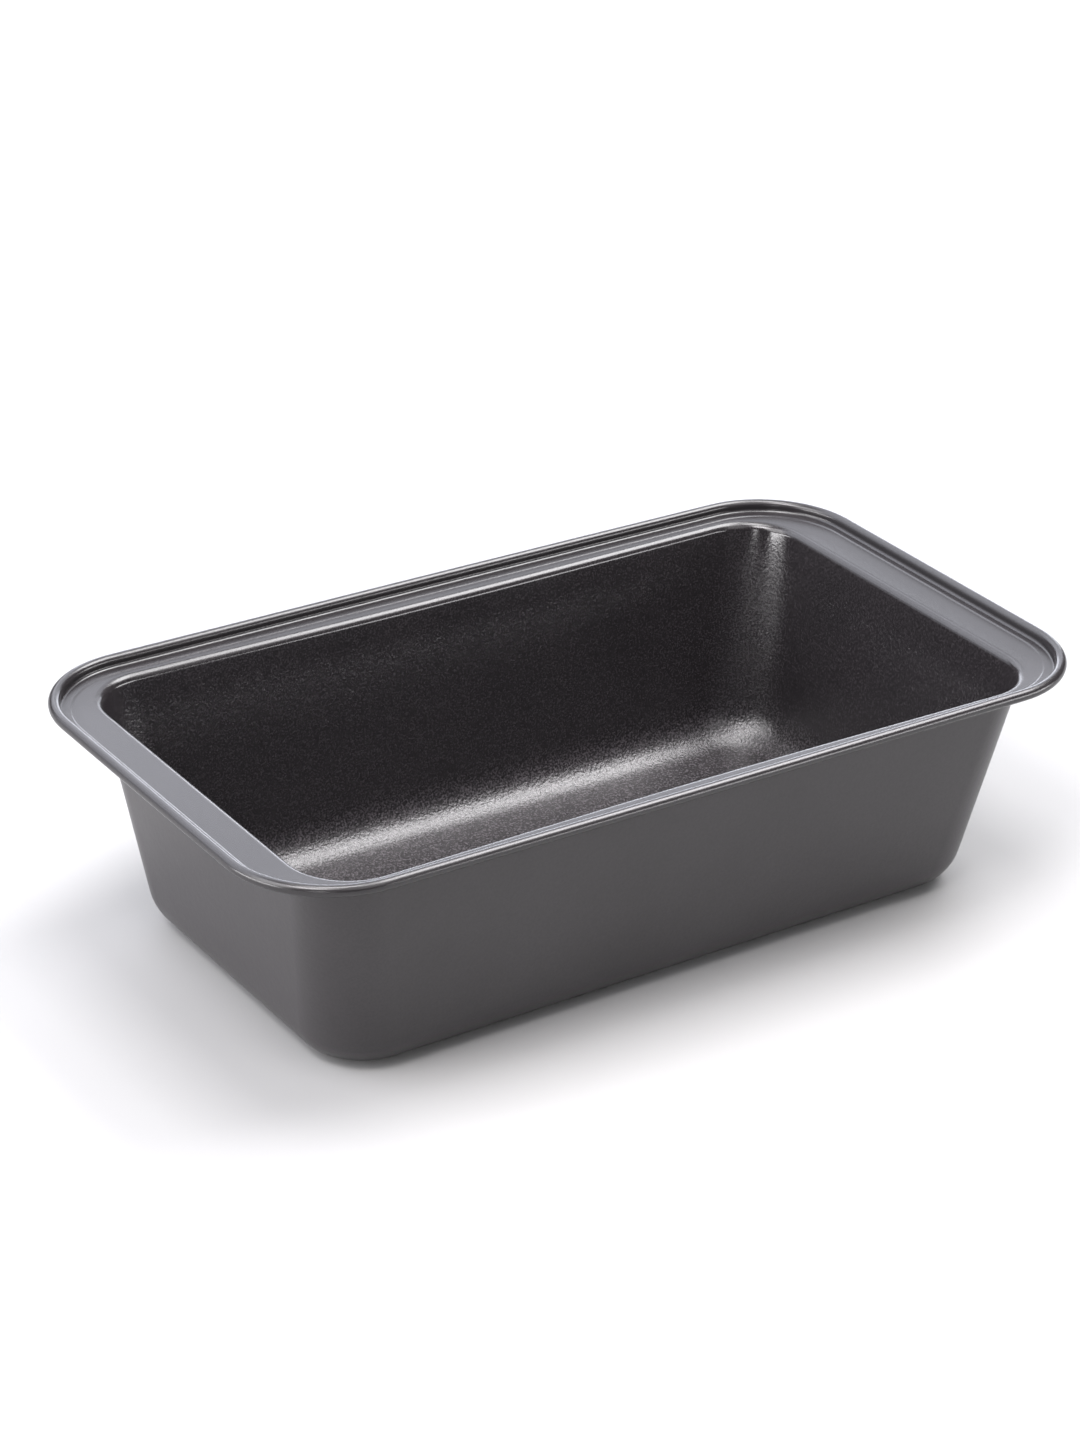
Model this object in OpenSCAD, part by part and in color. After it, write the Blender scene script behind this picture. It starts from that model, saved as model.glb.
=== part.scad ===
// Loaf pan: one drawn steel sheet with a coating on each side and a wire rolled into its rim.
// Lengths in mm, angles in degrees. Origin: middle of the flat underside. +Z up, +X along the pan.

/* [Overall] */
// Length over the rim bead
pan_length = 265; // [248:1:300]
// Width over the rim bead
pan_width = 150; // [145:1:180]
// Height from the table to the top of the bead
pan_height = 70; // [55:1:82]
// Corner radius of the rim outline
rim_corner = 30.5; // [26:0.5:36]

/* [Body] */
// Outside length of the base, measured to the sharp corner below the fillet
base_length = 212.5; // [200:0.5:216]
// Outside width of the base, measured to the sharp corner below the fillet
base_width = 111; // [96:0.5:112]
// Lean of the walls from vertical
draft = 8.9; // [6:0.1:9]
// Outside radius of the upright corners at the base
corner_base = 19.2; // [16:0.2:24]
// Outside radius of the upright corners at the flange
corner_top = 17.6; // [14:0.2:20]
// Outside radius between the base and the walls
bottom_fillet = 12.2; // [8:0.2:14]

/* [Sheet] */
// Thickness of the steel sheet
sheet = 0.6; // [0.5:0.05:0.7]
// Modelled thickness of each coating
coat = 0.1; // [0.1:0.01:0.15]

/* [Rim] */
// Radius of the rounded change from the wall to the flange, seen from above
flare_radius = 2.5; // [2:0.1:3]
// How far the flange lies below the top of the bead
flange_drop = 3.3; // [3:0.05:3.6]
// Outside radius of the rolled bead
bead_radius = 1.62; // [1.55:0.01:1.8]
// Inside radius where the flange turns up into the bead
foot_radius = 0.9; // [0.7:0.1:1.2]
// Where the rolled edge ends, below the bead and measured from its outermost point
curl_end = -118; // [-125:1:-90]

/* [Hidden] */

n = 10;                                 // steps in each 90 degree corner
N = 4 * (n + 1);                        // points in each plan outline
zf = pan_height - flange_drop;          // exposed top of the flange
t2 = sheet + 2 * coat;                  // both coatings and the sheet
tilt = (90 - draft) / 2;

// Base fillet: centre height and its inset from the sharp corner
fil_e = -bottom_fillet * tan(tilt);
fil_z = bottom_fillet;

// Flare: centre of the arc from the wall to the flange
flr_e = zf * tan(draft) - t2 / cos(draft) + flare_radius * tan(tilt);
flr_z = zf - flare_radius;

// Bead and foot: centres, u measured inward from the outline of the rim
bead_z = pan_height - bead_radius;
foot_z = zf + foot_radius;
foot_dz = bead_z - foot_z;
foot_u = bead_radius + sqrt(pow(bead_radius + foot_radius, 2) - foot_dz * foot_dz);
foot_end = atan2(foot_dz, foot_u - bead_radius);
curl_start = 180 + foot_end;

// Plan outline: a rounded rectangle of half-length hx, half-width hy and corner radius r at height z
function plan(hx, hy, r, z) = [
    for (c = [0 : 3]) for (i = [0 : n])
        let (a = 90 * c + 90 * i / n,
             sx = (c == 0 || c == 3) ? 1 : -1,
             sy = (c < 2) ? 1 : -1)
        [sx * (hx - r) + r * cos(a), sy * (hy - r) + r * sin(a), z]
];

// Outline of the body, e outside the sharp base line. The corner radius changes with height.
function body_ring(e, z) =
    let (r = corner_base + (corner_top - corner_base) * z / zf + e - z * tan(draft))
    plan(base_length / 2 + e, base_width / 2 + e, r, z);

// Outline of the rim, u inside the outermost line
function rim_ring(u, z) = plan(pan_length / 2 - u, pan_width / 2 - u, rim_corner - u, z);

// One face of the sheet as a stack of outlines, from the floor to the end of the curl.
// k is the depth below the exposed inner face: 0 there, t2 at the exposed outer face.
function face_rings(k) = concat(
    [for (i = [0 : 6]) let (a = (90 - draft) * i / 6, p = bottom_fillet - t2 + k)
        body_ring(fil_e + p * sin(a), fil_z - p * cos(a))],
    [for (i = [0 : 5]) let (b = draft + (90 - draft) * i / 5, p = flare_radius - k)
        body_ring(flr_e - p * cos(b), flr_z + p * sin(b))],
    [for (i = [0 : 3]) let (s = -90 + (90 + foot_end) * i / 4, p = foot_radius + k)
        rim_ring(foot_u - p * cos(s), foot_z + p * sin(s))],
    curl_rings(bead_radius - k)
);

// Angles round the bead, with exact stops at its top (90) and at its outermost line (0)
curl_angles = concat(
    [for (i = [0 : 4]) curl_start + (90 - curl_start) * i / 5],
    [for (i = [0 : 3]) 90 - 90 * i / 4],
    [for (i = [0 : 6]) curl_end * i / 6]
);

function curl_rings(p) = [
    for (f = curl_angles) rim_ring(bead_radius - p * cos(f), bead_z + p * sin(f))
];

function flat(rings) = [for (r = rings) for (p = r) p];

// Triangles of one face of the sheet, its first point numbered s
function face_tris(s, rows, up) = [
    for (j = [0 : rows - 2]) for (i = [0 : N - 1])
        let (a = s + j * N + i, b = s + j * N + (i + 1) % N, c = b + N, d = a + N)
        each up ? [[a, b, c], [a, c, d]] : [[a, c, b], [a, d, c]]
];

// A layer of the sheet between depths k1 (inner) and k2 (outer)
module layer(k1, k2) {
    upper = face_rings(k1);
    lower = face_rings(k2);
    rows = len(upper);
    s2 = rows * N;
    last = (rows - 1) * N;
    polyhedron(
        points = concat(flat(upper), flat(lower)),
        faces = concat(
            face_tris(0, rows, true),
            face_tris(s2, rows, false),
            [[for (i = [N - 1 : -1 : 0]) i]],
            [[for (i = [0 : N - 1]) s2 + i]],
            [for (i = [0 : N - 1]) let (a = last + i, b = last + (i + 1) % N)
                each [[a, b, s2 + b], [a, s2 + b, s2 + a]]]
        ),
        convexity = 8
    );
}

// The drawn sheet: base, walls, flange, bead and curl
module pan_shell() color([0.62, 0.63, 0.65]) layer(coat, coat + sheet);

// Dark non-stick layer on the food side, carried over the bead to the cut edge
module interior_release_coating() color([0.20, 0.19, 0.20]) layer(0, coat);

// Satin layer on the outer side: underside, outer walls, under the flange and inside the curl
module exterior_coating() color([0.36, 0.35, 0.37]) layer(coat + sheet, t2);

// Closed loop of wire that fills the curl
module rim_wire() {
    p = bead_radius - t2;
    gap = curl_end + 360 - curl_start;
    open = [for (g = [1 : 2]) let (f = curl_end - gap * g / 3)
        rim_ring(bead_radius - p * cos(f), bead_z + p * sin(f))];
    rings = concat(curl_rings(p), open);
    rows = len(rings);
    color([0.70, 0.71, 0.72]) polyhedron(
        points = flat(rings),
        faces = [for (j = [0 : rows - 1]) for (i = [0 : N - 1])
            let (i2 = (i + 1) % N, j2 = (j + 1) % rows,
                 a = j * N + i, b = j * N + i2, c = j2 * N + i2, d = j2 * N + i)
            each [[a, b, c], [a, c, d]]],
        convexity = 6
    );
}

pan_shell();
rim_wire();
interior_release_coating();
exterior_coating();
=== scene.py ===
"""Loaf pan: a coated steel sheet drawn to shape, with a wire rolled into its rim.

Lengths are in metres in Blender and in millimetres in the dimensions below. The origin is the
middle of the underside, +Z is up and +X runs along the pan.
"""

import math

import bmesh
import bpy
from mathutils import Matrix, Vector


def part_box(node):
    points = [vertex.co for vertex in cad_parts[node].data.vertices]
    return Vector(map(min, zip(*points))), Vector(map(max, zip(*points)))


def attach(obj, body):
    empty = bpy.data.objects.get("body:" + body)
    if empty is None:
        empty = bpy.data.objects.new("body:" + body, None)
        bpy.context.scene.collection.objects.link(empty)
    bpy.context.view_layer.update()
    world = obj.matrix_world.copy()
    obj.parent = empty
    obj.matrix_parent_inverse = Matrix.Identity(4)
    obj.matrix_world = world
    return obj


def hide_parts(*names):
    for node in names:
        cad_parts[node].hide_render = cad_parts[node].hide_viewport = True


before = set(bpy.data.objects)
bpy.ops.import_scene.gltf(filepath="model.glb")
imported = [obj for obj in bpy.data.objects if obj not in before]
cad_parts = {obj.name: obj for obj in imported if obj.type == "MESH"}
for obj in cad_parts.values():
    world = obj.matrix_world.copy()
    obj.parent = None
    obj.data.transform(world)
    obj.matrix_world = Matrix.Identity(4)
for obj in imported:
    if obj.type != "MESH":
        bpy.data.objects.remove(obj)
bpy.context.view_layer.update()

MM = 0.001  # metres in a millimetre
QUARTER = math.pi / 2

# ---------------------------------------------------------------- the pan's dimensions, mm
low_corner, high_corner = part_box("interior_release_coating")
LENGTH = (high_corner.x - low_corner.x) / MM
WIDTH = (high_corner.y - low_corner.y) / MM
HEIGHT = high_corner.z / MM
RIM_CORNER = 30.5  # corner radius of the rim's outline
BASE_L, BASE_W = 212.5, 111.0  # outside of the base, to the sharp corner below the fillet
DRAFT = math.radians(8.9)  # lean of the walls from vertical
CORNER_BASE, CORNER_TOP = 19.2, 17.6  # outside radius of the upright corners, at base and flange
FILLET = 12.2  # outside radius between the base and the walls
SHEET, COAT = 0.6, 0.1  # thickness of the steel and of each coating
SKIN = SHEET + 2 * COAT  # thickness of all three layers
FLARE = 2.5  # radius from the wall to the flange
FLANGE_DROP = 3.3  # flange below the top of the bead
BEAD = 1.62  # outside radius of the bead
FOOT = 0.9  # inside radius where the flange turns up into the bead
CURL_END = math.radians(-118)  # where the rolled edge ends, from the bead's outermost point
FLANGE_Z = HEIGHT - FLANGE_DROP

# What only the pressed metal shows
SPRING = 1.3  # how far the long walls spring in at their middle, at the flange
SPRING_POWER = 1.5  # how that grows with height
BELLY = 0.3  # how much wider the rim is at its middle than at its corners
BEND_START = 0.3  # share of the corner radius that takes no part in the bend
STEP_DOWN = 0.22  # the die leaves the flange's inner part this much lower
STEP_END, STEP_SIDE, STEP_CORNER = 5.5, 6.6, 5.2  # where, inside the rim's ends, sides, corners
# Across that step: the way inward from its line, and the share of the depth
STEP_PROFILE = ((0.62, 1.0), (0.42, 0.93), (0.2, 0.5), (0.0, 0.07), (-0.2, 0.0))

# How finely each stretch is divided
CORNER_STEPS, SIDE_STEPS, END_STEPS = 20, 14, 6
FILLET_STEPS, WALL_STEPS, FLARE_STEPS, FOOT_STEPS, CURL_STEPS, WIRE_STEPS = 12, 10, 10, 6, 10, 6
CREASE = math.radians(50)  # an edge sharper than this stays crisp

# Centres of the arcs: e is measured out from the sharp base line, u in from the rim's outline
tilt = (QUARTER - DRAFT) / 2
fillet_e, fillet_z = -FILLET * math.tan(tilt), FILLET
flare_e = FLANGE_Z * math.tan(DRAFT) - SKIN / math.cos(DRAFT) + FLARE * math.tan(tilt)
flare_z = FLANGE_Z - FLARE
bead_z, foot_z = HEIGHT - BEAD, FLANGE_Z + FOOT
foot_rise = bead_z - foot_z
foot_u = BEAD + math.sqrt((BEAD + FOOT) ** 2 - foot_rise**2)
foot_end = math.atan2(foot_rise, foot_u - BEAD)
curl_start = math.pi + foot_end


# ---------------------------------------------------------------- plan outlines
def corner_point(quarter, part, hx, hy, r):
    """A point of one rounded corner, part 0 to 1 of the way round it."""
    sx = 1 if quarter % 4 in (0, 3) else -1
    sy = 1 if quarter % 4 < 2 else -1
    a = math.radians(90 * quarter + 90 * part)
    return sx * (hx - r) + r * math.cos(a), sy * (hy - r) + r * math.sin(a)


def plan(hx, hy, r, z, spring=0.0, belly=0.0):
    """Rounded rectangle at height z, anticlockwise, of half-lengths hx and hy.

    Its long sides bend in by spring at their middle, or its corners draw in by belly.
    """
    points = []
    for quarter in range(4):
        for i in range(CORNER_STEPS + 1):
            points.append(corner_point(quarter, i / CORNER_STEPS, hx, hy, r))
        start, end = points[-1], corner_point(quarter + 1, 0, hx, hy, r)
        steps = SIDE_STEPS if quarter in (0, 2) else END_STEPS
        for k in range(1, steps):
            t = k / steps
            points.append((start[0] + (end[0] - start[0]) * t, start[1] + (end[1] - start[1]) * t))
    outline = []
    for x, y in points:
        along = min(1.0, abs(x) / (hx - BEND_START * r))
        bend = (1 - along * along) ** 2
        inward = (spring * bend + belly * (1 - bend)) * min(1.0, abs(y) / hy)
        outline.append(Vector((x, y - math.copysign(inward, y), z)) * MM)
    return outline


def body_ring(e, z):
    """Outline of the body, e outside the sharp base line."""
    r = CORNER_BASE + (CORNER_TOP - CORNER_BASE) * z / FLANGE_Z + e - z * math.tan(DRAFT)
    spring = SPRING * (max(z, 0) / FLANGE_Z) ** SPRING_POWER
    return plan(BASE_L / 2 + e, BASE_W / 2 + e, r, z, spring=spring)


def rim_ring(u, z):
    """Outline of the rim, u inside its outermost line."""
    return plan(LENGTH / 2 - u, WIDTH / 2 - u, RIM_CORNER - u, z, belly=BELLY)


def bead_ring(radius, angle):
    """Outline of the bead at one angle of its section, 0 at its outermost point."""
    return rim_ring(BEAD - radius * math.cos(angle), bead_z + radius * math.sin(angle))


# ---------------------------------------------------------------- one face of the sheet
def curl_rings(radius):
    """Outlines round the bead, from the foot over its top and outermost line to the cut edge."""
    angles = [curl_start + (QUARTER - curl_start) * i / CURL_STEPS for i in range(CURL_STEPS)]
    angles += [QUARTER - QUARTER * i / CURL_STEPS for i in range(CURL_STEPS)]
    angles += [CURL_END * i / CURL_STEPS for i in range(CURL_STEPS + 1)]
    return [bead_ring(radius, a) for a in angles]


def face_rings(depth):
    """Outlines of the sheet's face at a depth below the food side, from the floor to the cut edge."""
    rings = []
    radius = FILLET - SKIN + depth
    for i in range(FILLET_STEPS + 1):
        a = (QUARTER - DRAFT) * i / FILLET_STEPS
        e0, z0 = fillet_e + radius * math.sin(a), fillet_z - radius * math.cos(a)
        rings.append(body_ring(e0, z0))
    radius = FLARE - depth
    low_flare_z = flare_z - STEP_DOWN
    e1, z1 = flare_e - radius * math.cos(DRAFT), low_flare_z + radius * math.sin(DRAFT)
    for i in range(1, WALL_STEPS):
        rings.append(body_ring(e0 + (e1 - e0) * i / WALL_STEPS, z0 + (z1 - z0) * i / WALL_STEPS))
    for i in range(FLARE_STEPS + 1):
        a = DRAFT + (QUARTER - DRAFT) * i / FLARE_STEPS
        rings.append(body_ring(flare_e - radius * math.cos(a), low_flare_z + radius * math.sin(a)))
    for inward, share in STEP_PROFILE:
        hx, hy = LENGTH / 2 - STEP_END - inward, WIDTH / 2 - STEP_SIDE - inward
        z = FLANGE_Z - depth - STEP_DOWN * share
        rings.append(plan(hx, hy, RIM_CORNER - STEP_CORNER - inward, z))
    radius = FOOT + depth
    for i in range(FOOT_STEPS):
        a = -QUARTER + (QUARTER + foot_end) * i / FOOT_STEPS
        rings.append(rim_ring(foot_u - radius * math.cos(a), foot_z + radius * math.sin(a)))
    return rings + curl_rings(BEAD - depth)


# ---------------------------------------------------------------- meshes
def tube(bm, rings, up, wrap=False):
    """Quads between stacked outlines, facing the food if up. Returns the rows of vertices."""
    rows = [[bm.verts.new(p) for p in ring] for ring in rings]
    n = len(rows[0])
    for j in range(len(rows) if wrap else len(rows) - 1):
        lower, upper = rows[j], rows[(j + 1) % len(rows)]
        for i in range(n):
            a, b = lower[i], lower[(i + 1) % n]
            c, d = upper[(i + 1) % n], upper[i]
            bm.faces.new((a, d, c, b) if up else (a, b, c, d))
    return rows


def make(name, bm, finish, node):
    """A smooth piece that stands for a CAD node. Its normals point out and its cut edge is crisp."""
    bmesh.ops.recalc_face_normals(bm, faces=bm.faces)
    for face in bm.faces:
        face.smooth = True
    for edge in bm.edges:
        if edge.calc_face_angle() > CREASE:
            edge.smooth = False
    mesh = bpy.data.meshes.new(name)
    bm.to_mesh(mesh)
    bm.free()
    mesh.materials.append(finish)
    piece = bpy.data.objects.new(name, mesh)
    bpy.context.scene.collection.objects.link(piece)
    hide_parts(node)
    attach(piece, "root")


def layer(name, inner, outer, finish, node):
    """A closed layer of the sheet between two depths."""
    bm = bmesh.new()
    top = tube(bm, face_rings(inner), True)
    under = tube(bm, face_rings(outer), False)
    bm.faces.new(top[0])
    bm.faces.new(list(reversed(under[0])))
    n = len(top[0])
    for i in range(n):
        k = (i + 1) % n
        bm.faces.new((top[-1][k], top[-1][i], under[-1][i], under[-1][k]))
    make(name, bm, finish, node)


def wire(name, finish, node):
    """The closed loop of wire that fills the curl."""
    bm = bmesh.new()
    radius = BEAD - SKIN
    rings = curl_rings(radius)
    gap = 2 * math.pi + CURL_END - curl_start
    rings += [bead_ring(radius, CURL_END - gap * g / WIRE_STEPS) for g in range(1, WIRE_STEPS)]
    tube(bm, rings, False, wrap=True)
    make(name, bm, finish, node)


# ---------------------------------------------------------------- node helpers
MAGENTA_CAST = (1.0, 0.90, 0.97)


def material(name):
    """A new material with one Principled shader.

    Returns it, its node tree, the shader, and the socket of object coordinates in metres.
    """
    m = bpy.data.materials.new(name)
    m.use_nodes = True
    nt = m.node_tree
    nt.nodes.clear()
    out = nt.nodes.new("ShaderNodeOutputMaterial")
    bsdf = nt.nodes.new("ShaderNodeBsdfPrincipled")
    nt.links.new(bsdf.outputs[0], out.inputs[0])
    coord = nt.nodes.new("ShaderNodeTexCoord")
    return m, nt, bsdf, coord.outputs["Object"]


def noise(nt, vec, scale, detail, rough):
    t = nt.nodes.new("ShaderNodeTexNoise")
    t.inputs["Scale"].default_value = scale
    t.inputs["Detail"].default_value = detail
    t.inputs["Roughness"].default_value = rough
    nt.links.new(vec, t.inputs["Vector"])
    return t.outputs[0]


def ramp(nt, fac, stops):
    """Colours between two or three stops."""
    r = nt.nodes.new("ShaderNodeValToRGB")
    while len(r.color_ramp.elements) < len(stops):
        r.color_ramp.elements.new(0.5)
    for element, (position, colour) in zip(r.color_ramp.elements, stops):
        element.position = position
        element.color = (*colour, 1)
    nt.links.new(fac, r.inputs[0])
    return r.outputs[0]


def span(nt, fac, a, b, c, d):
    """Map fac from a..b to c..d, and hold it there outside a..b."""
    m = nt.nodes.new("ShaderNodeMapRange")
    nt.links.new(fac, m.inputs[0])
    for i, v in enumerate((a, b, c, d)):
        m.inputs[i + 1].default_value = v
    return m.outputs[0]


def math_node(nt, op, x, y):
    """One sum of two numbers or sockets."""
    m = nt.nodes.new("ShaderNodeMath")
    m.operation = op
    for socket, v in zip(m.inputs, (x, y)):
        if isinstance(v, (int, float)):
            socket.default_value = v
        else:
            nt.links.new(v, socket)
    return m.outputs[0]


def bump(nt, height, strength, distance, normal=None):
    b = nt.nodes.new("ShaderNodeBump")
    b.inputs["Strength"].default_value = strength
    b.inputs["Distance"].default_value = distance
    nt.links.new(height, b.inputs["Height"])
    if normal is not None:
        nt.links.new(normal, b.inputs["Normal"])
    return b.outputs[0]


def blend_colour(nt, fac, a, b, blend="MIX"):
    """Mix two colour sockets by a number or a socket."""
    m = nt.nodes.new("ShaderNodeMix")
    m.data_type = "RGBA"
    m.blend_type = blend
    if isinstance(fac, float):
        m.inputs[0].default_value = fac
    else:
        nt.links.new(fac, m.inputs[0])
    nt.links.new(a, m.inputs[6])
    nt.links.new(b, m.inputs[7])
    return m.outputs[2]


def by_height(nt, vec, z_from, z_to, low, high):
    """A number that goes from low to high between two heights above the table, in metres."""
    xyz = nt.nodes.new("ShaderNodeSeparateXYZ")
    nt.links.new(vec, xyz.inputs[0])
    return span(nt, xyz.outputs[2], z_from, z_to, low, high)


def fleck(nt, speck, dark, middle, light):
    """Speckled tone: three greys with a faint magenta cast."""
    stops = []
    for position, grey in ((0.36, dark), (0.5, middle), (0.66, light)):
        stops.append((position, tuple(grey * c for c in MAGENTA_CAST)))
    return ramp(nt, speck, stops)


# ---------------------------------------------------------------- materials
# Heights above the table, in metres
FILLET_FROM, FILLET_TO = 0.004, 0.014  # the pan's floor turns into its walls; over this span the painted lighter floor tone fades into the walls' tone
CALM_FROM = 0.052  # the grain's relief fades from here up to the flare
RIM_FROM, RIM_TO = 0.0645, 0.0663  # the walls turn into the flange
RIM_ROUGHNESS = 0.27


def release_coating():
    """Dark non-stick film: charcoal with a fine sprayed grain that sparkles, calmer on the rim. On the
    floor that grain's speckle is painted lighter, with brighter specks as painted glints.
    """
    m, nt, bsdf, vec = material("release_coating")
    grain = noise(nt, vec, scale=1150.0, detail=3.0, rough=0.62)
    speck = noise(nt, vec, scale=1700.0, detail=1.0, rough=0.5)
    cloud = noise(nt, vec, scale=45.0, detail=3.0, rough=0.5)
    on_rim = by_height(nt, vec, RIM_FROM, RIM_TO, 0.0, 1.0)
    # Painted light: the floor's speckle is lighter than the walls', and its bright specks are painted
    # glints over the coating's real grain. The walls and the rim keep the darker tone.
    bottom_painted_glints = fleck(nt, speck, 0.0070, 0.0200, 0.0560)
    wall = fleck(nt, speck, 0.0112, 0.0150, 0.0245)
    rim = fleck(nt, speck, 0.0135, 0.0150, 0.0165)
    # The painted lighter floor tone fades into the walls' tone across the fillet
    inside = blend_colour(nt, by_height(nt, vec, FILLET_FROM, FILLET_TO, 0.0, 1.0), bottom_painted_glints, wall)
    base = blend_colour(nt, on_rim, inside, rim)
    tone = ramp(nt, cloud, [(0.35, (0.90, 0.90, 0.91)), (0.65, (1.0, 0.99, 1.0))])
    nt.links.new(blend_colour(nt, 1.0, base, tone, "MULTIPLY"), bsdf.inputs["Base Color"])
    rough = span(nt, grain, 0.3, 0.7, 0.11, 0.165)
    to_rim = math_node(nt, "SUBTRACT", RIM_ROUGHNESS, rough)
    rough = math_node(nt, "ADD", rough, math_node(nt, "MULTIPLY", to_rim, on_rim))
    nt.links.new(rough, bsdf.inputs["Roughness"])
    bsdf.inputs["IOR"].default_value = 1.55
    relief = math_node(nt, "MULTIPLY", grain, by_height(nt, vec, CALM_FROM, RIM_FROM, 1.0, 0.05))
    nt.links.new(bump(nt, relief, strength=1.0, distance=0.00023), bsdf.inputs["Normal"])
    return m


def outer_coating():
    """Smooth satin film with a faint orange peel and slightly uneven tone."""
    m, nt, bsdf, vec = material("outer_coating")
    peel = noise(nt, vec, scale=520.0, detail=2.0, rough=0.5)
    fine = noise(nt, vec, scale=1500.0, detail=1.0, rough=0.5)
    cloud = noise(nt, vec, scale=30.0, detail=3.0, rough=0.55)
    base = ramp(nt, cloud, [(0.3, (0.0335, 0.0310, 0.0326)), (0.7, (0.0395, 0.0367, 0.0387))])
    tone = ramp(nt, fine, [(0.35, (0.86, 0.86, 0.86)), (0.65, (1.0, 1.0, 1.0))])
    nt.links.new(blend_colour(nt, 1.0, base, tone, "MULTIPLY"), bsdf.inputs["Base Color"])
    nt.links.new(span(nt, cloud, 0.3, 0.7, 0.33, 0.38), bsdf.inputs["Roughness"])
    bsdf.inputs["IOR"].default_value = 1.45
    peeled = bump(nt, peel, strength=0.5, distance=0.00006)
    nt.links.new(bump(nt, fine, 0.5, 0.00002, normal=peeled), bsdf.inputs["Normal"])
    return m


def bare_steel(name, stretch):
    """Cold-rolled or drawn steel with fine scratches, stretched by a scale along each axis."""
    m, nt, bsdf, vec = material(name)
    mapping = nt.nodes.new("ShaderNodeMapping")
    mapping.inputs["Scale"].default_value = stretch
    nt.links.new(vec, mapping.inputs["Vector"])
    lines = noise(nt, mapping.outputs[0], scale=900.0, detail=2.0, rough=0.6)
    base = ramp(nt, lines, [(0.3, (0.42, 0.43, 0.45)), (0.7, (0.62, 0.63, 0.65))])
    nt.links.new(base, bsdf.inputs["Base Color"])
    bsdf.inputs["Metallic"].default_value = 1.0
    nt.links.new(span(nt, lines, 0.3, 0.7, 0.30, 0.44), bsdf.inputs["Roughness"])
    nt.links.new(bump(nt, lines, strength=0.2, distance=0.00003), bsdf.inputs["Normal"])
    return m


# ---------------------------------------------------------------- the four pieces
sheet_steel = bare_steel("steel_sheet", (1.0, 1.0, 6.0))
wire_steel = bare_steel("steel_wire", (1.0, 1.0, 8.0))
for name, inner, outer, finish, node, slot in (
    ("interior_coating_skin", 0.0, COAT, release_coating(), "interior_release_coating", "release_coating"),
    ("pressed_steel_shell", COAT, COAT + SHEET, sheet_steel, "pan_shell", "steel_sheet"),
    ("exterior_coating_skin", COAT + SHEET, SKIN, outer_coating(), "exterior_coating", "outer_coating"),
):
    layer(name, inner, outer, finish, node)
wire("rim_wire_loop", wire_steel, "rim_wire")

# ---------------------------------------------------------------- floor and background
FLOOR_HALF = 6.0  # metres
GLOW_FROM, GLOW_TO = 1.15, 1.45  # metres from the pan; past here the floor glows white by itself
ROOM = 0.05  # the dim room that the pan mirrors between the lights
BACKGROUND = 1.0  # what the camera sees past the floor

floor_mat, nt, bsdf, vec = material("studio_floor")
tone = ramp(nt, noise(nt, vec, 3.0, 2.0, 0.5), [(0.3, (0.32, 0.32, 0.32)), (0.7, (0.335, 0.335, 0.335))])
nt.links.new(tone, bsdf.inputs["Base Color"])
bsdf.inputs["Roughness"].default_value = 0.85
bsdf.inputs["Specular IOR Level"].default_value = 0.2
reach = nt.nodes.new("ShaderNodeVectorMath")
reach.operation = "LENGTH"
nt.links.new(vec, reach.inputs[0])
glow = span(nt, reach.outputs["Value"], GLOW_FROM, GLOW_TO, 0.0, 1.0)
nt.links.new(glow, bsdf.inputs["Emission Strength"])
bsdf.inputs["Emission Color"].default_value = (1.0, 1.0, 1.0, 1)
bm = bmesh.new()
bmesh.ops.create_grid(bm, x_segments=2, y_segments=2, size=FLOOR_HALF)
mesh = bpy.data.meshes.new("studio_floor")
bm.to_mesh(mesh)
bm.free()
mesh.materials.append(floor_mat)
floor = bpy.data.objects.new("studio_floor", mesh)
bpy.context.scene.collection.objects.link(floor)

world = bpy.data.worlds.new("studio")
bpy.context.scene.world = world
world.use_nodes = True
nt = world.node_tree
background = nt.nodes["Background"]
background.inputs["Color"].default_value = (1.0, 1.0, 1.0, 1)
path = nt.nodes.new("ShaderNodeLightPath")
seen = span(nt, path.outputs["Is Camera Ray"], 0.0, 1.0, ROOM, BACKGROUND)
nt.links.new(seen, background.inputs["Strength"])

# ---------------------------------------------------------------- lights
LIGHT_DISTANCE = 1.5  # metres
LIGHT_AIM = Vector((0, 0, 0.05))


def outward(az, el):
    """The direction away from the pan. az: 0 in front, 90 at the right. Both in degrees."""
    a, e = math.radians(az), math.radians(el)
    return Vector((math.sin(a) * math.cos(e), -math.cos(a) * math.cos(e), math.sin(e)))


def softbox(name, az, el, size, radiance, tint):
    """A soft rectangular light that faces the pan."""
    away = outward(az, el)
    data = bpy.data.lights.new(name, "AREA")
    data.shape = "RECTANGLE"
    data.size, data.size_y = size
    data.energy = radiance * math.pi * size[0] * size[1]
    data.color = tint
    ob = bpy.data.objects.new(name, data)
    ob.location = LIGHT_AIM + away * LIGHT_DISTANCE
    ob.rotation_mode = "QUATERNION"
    ob.rotation_quaternion = (-away).to_track_quat("-Z", "Y")
    bpy.context.scene.collection.objects.link(ob)


COOL, WARM, PLAIN = (0.95, 0.975, 1.07), (1.01, 0.98, 1.0), (1.0, 0.985, 1.0)
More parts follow.
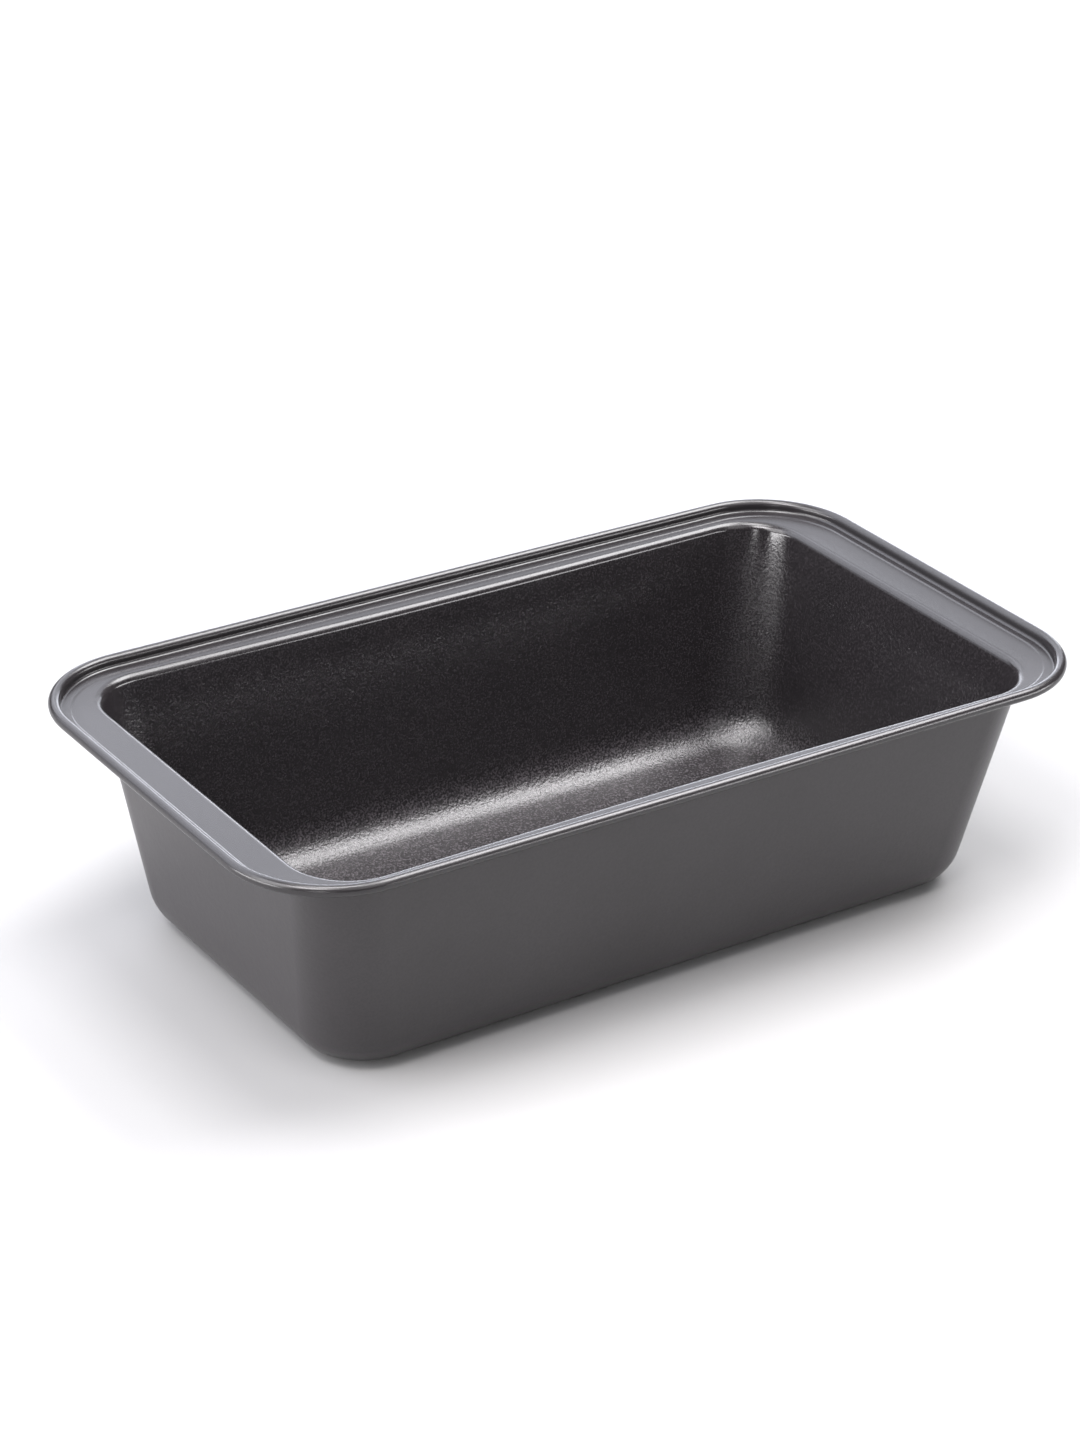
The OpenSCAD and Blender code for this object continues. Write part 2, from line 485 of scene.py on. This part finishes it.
# name, azimuth, elevation, width and height in metres, radiance, tint
for light in (
    ("key", 90, 58, (0.88, 0.66), 15.5, PLAIN),
    ("key_front", 45, 62, (0.50, 0.60), 4.5, PLAIN),
    ("front", 5, 45, (0.90, 0.90), 1.6, PLAIN),
    ("top", 0, 90, (0.62, 0.62), 14.8, PLAIN),
    ("front_left", 302, 59, (0.60, 0.50), 18.5, WARM),
    ("left", 270, 40, (0.95, 1.06), 5.7, PLAIN),
    ("low_left", 262, 6, (1.22, 0.30), 15.0, PLAIN),
    ("low_front_left", 318, 14, (0.22, 0.35), 8.0, PLAIN),
    ("back_left", 225, 40, (0.95, 1.06), 2.9, COOL),
    ("back", 180, 40, (0.95, 1.06), 2.8, COOL),
    ("back_right", 143, 36, (0.95, 1.06), 1.9, COOL),
    ("low_back_left", 225, 10, (1.22, 0.53), 1.0, COOL),
    ("low_back_right", 143, 8, (1.20, 0.36), 5.8, COOL),
    ("low_right", 46, 6, (1.22, 0.30), 10.0, PLAIN),
):
    softbox(*light)

# ---------------------------------------------------------------- camera
CAMERA_AZ, CAMERA_EL, CAMERA_ROLL = -34.34, 26.86, 1.66  # degrees
CAMERA_TARGET = Vector((1.27, 14.26, 48.65)) * MM
CAMERA_DISTANCE = 1.0567  # metres
CAMERA_LENS, CAMERA_SENSOR = 94.3, 36.0  # mm

camera_data = bpy.data.cameras.new("camera")
camera = bpy.data.objects.new("camera", camera_data)
bpy.context.scene.collection.objects.link(camera)
bpy.context.scene.camera = camera
away = outward(CAMERA_AZ, CAMERA_EL)
camera.location = CAMERA_TARGET + away * CAMERA_DISTANCE
level = (-away).cross(Vector((0, 0, 1))).normalized()
upright = level.cross(-away)
roll = math.radians(CAMERA_ROLL)
right = level * math.cos(roll) + upright * math.sin(roll)
up = upright * math.cos(roll) - level * math.sin(roll)
camera.rotation_mode = "QUATERNION"
camera.rotation_quaternion = Matrix((right, up, away)).transposed().to_quaternion()
camera_data.sensor_width = CAMERA_SENSOR
camera_data.lens = CAMERA_LENS
camera_data.clip_start, camera_data.clip_end = 0.05, 50

bpy.context.scene.view_settings.view_transform = "Standard"
